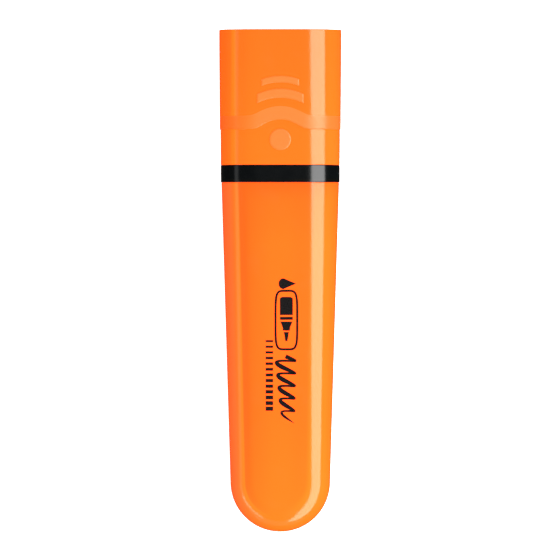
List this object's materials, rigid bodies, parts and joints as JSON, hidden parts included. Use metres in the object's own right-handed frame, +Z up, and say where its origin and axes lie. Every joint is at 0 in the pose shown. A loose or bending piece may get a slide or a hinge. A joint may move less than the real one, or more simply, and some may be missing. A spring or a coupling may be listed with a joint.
{
  "type": "highlighter",
  "caption": "Flat wedge-shaped capped highlighter: round-ended barrel, dark collar ring, slanted chisel nib, and a square-ended pull-off cap with raised thumb ripples.",
  "frame": {"origin": "on the surface the pen lies on, under the middle of its footprint, with the pen lying on its back", "axes": "+Z up; +Y along the pen from the round end of the barrel to the flat end of the cap; +X to the right when the pen is seen from above with its cap pointing away. The pen's own axis leans up 2.02 degrees from +Y towards the cap, because the barrel is a wedge"},
  "size_m": [0.0282, 0.1162, 0.0161],
  "materials": {
    "orange_plastic": "glossy fluorescent orange moulding",
    "black_plastic": "glossy black moulding",
    "nib_fibre": "ink-soaked porous fibre",
    "reservoir_fibre": "ink-soaked wadding",
    "clear_film": "thin clear film",
    "liner_plastic": "natural uncoloured polyethylene"
  },
  "bodies": {
    "pen": {"barrel": "orange_plastic", "nib_holder": "black_plastic", "nib": "nib_fibre", "ink_reservoir": "reservoir_fibre", "reservoir_film": "clear_film"},
    "cap": {"cap_shell": "orange_plastic", "inner_cap": "liner_plastic"}
  },
  "joints": [
    {"name": "cap_slide", "type": "slide", "parent": "pen", "child": "cap", "axis": [0, 0.9994, 0.0352], "range_m": [0, 0.04]}
  ]
}
